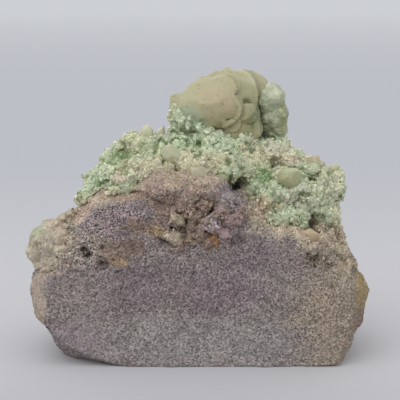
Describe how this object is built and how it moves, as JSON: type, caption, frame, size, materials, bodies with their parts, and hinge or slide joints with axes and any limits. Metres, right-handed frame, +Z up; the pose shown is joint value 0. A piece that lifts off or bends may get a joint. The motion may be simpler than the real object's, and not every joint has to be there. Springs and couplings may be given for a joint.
{
  "type": "mineral specimen",
  "caption": "Mauve sugary rock with a trimmed base, a mint-green crust and a rounded cream pollucite crystal mass on top.",
  "frame": {"origin": "middle of the specimen's box, on the plane it rests on", "axes": "+X along the specimen's length to the viewer's right, +Y from the front face to the back, +Z up"},
  "size_m": [0.112, 0.0598, 0.0932],
  "materials": {
    "mauve_rock": "fine sugary broken surface, matt",
    "mint_crust": "sugary, matt, mint green to white",
    "cream_crystal": "smooth, waxy, translucent",
    "olive_crystal": "smooth, waxy, translucent",
    "pale_lump": "botryoidal, matt, greenish white",
    "amber_crystal": "waxy, translucent beige",
    "violet_crystal": "small glassy violet crystals"
  },
  "bodies": {
    "root": {"matrix": "mauve_rock", "green_crust": "mint_crust", "pollucite_knob": "cream_crystal", "pale_lump": "pale_lump", "left_cluster": "pale_lump", "hollow_crystals": "violet_crystal", "ridge_crystal_left": "olive_crystal", "ridge_crystal_right": "cream_crystal", "ridge_end_crystal": "olive_crystal", "leaning_crystal": "cream_crystal", "low_crystal": "cream_crystal", "left_slope_crystal": "olive_crystal", "small_slope_crystal": "cream_crystal", "lens_crystal": "cream_crystal", "shaded_crystal": "olive_crystal", "olive_crystal": "olive_crystal", "upper_right_crystal": "cream_crystal", "corner_crystal": "olive_crystal", "amber_crystal": "amber_crystal", "back_crystal_left": "cream_crystal", "back_crystal_right": "olive_crystal"}
  },
  "joints": []
}
